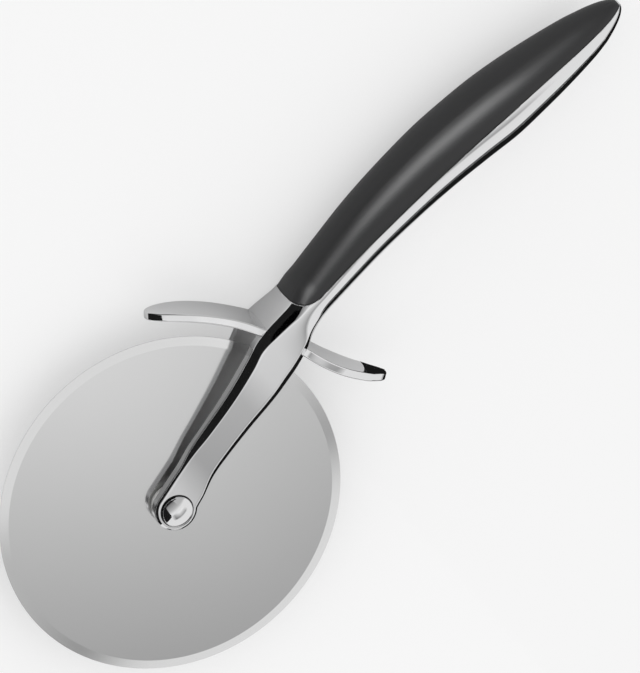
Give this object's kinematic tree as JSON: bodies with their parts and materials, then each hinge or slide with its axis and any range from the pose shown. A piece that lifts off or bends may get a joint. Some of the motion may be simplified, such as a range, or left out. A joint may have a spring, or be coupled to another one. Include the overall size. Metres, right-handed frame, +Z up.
{
  "type": "pizza cutter wheel",
  "caption": "Hand-held pizza cutter: a round steel blade turns between the arms of a plated fork with a finger guard and a covered grip.",
  "frame": {"origin": "middle of the footprint, on the surface that the cutter lies on", "axes": "+X along the grip towards its end, +Y towards the black cover, +Z up, which is the wheel's axle"},
  "size_m": [0.2348, 0.1016, 0.0208],
  "materials": {
    "plated_frame": "polished plating on a die casting",
    "plated_guard": "polished plating",
    "black_cover": "satin moulded plastic",
    "blade_steel": "fine satin stainless steel with a ground edge",
    "bush_nylon": "natural nylon",
    "washer_steel": "plain steel",
    "rivet_steel": "turned and polished steel"
  },
  "bodies": {
    "handle": {"handle_frame": "plated_frame", "finger_guard": "plated_guard", "grip_cover": "black_cover", "thrust_washer_front": "washer_steel", "thrust_washer_back": "washer_steel", "axle_pin": "rivet_steel", "axle_cap": "rivet_steel"},
    "wheel": {"blade": "blade_steel", "hub_bush_front": "bush_nylon", "hub_bush_back": "bush_nylon"}
  },
  "joints": [
    {"name": "wheel_spin", "type": "hinge", "parent": "handle", "child": "wheel", "pos_m": [-0.0675, -0.00078, 0.0104], "axis": [0, 0, 1], "continuous": true}
  ]
}
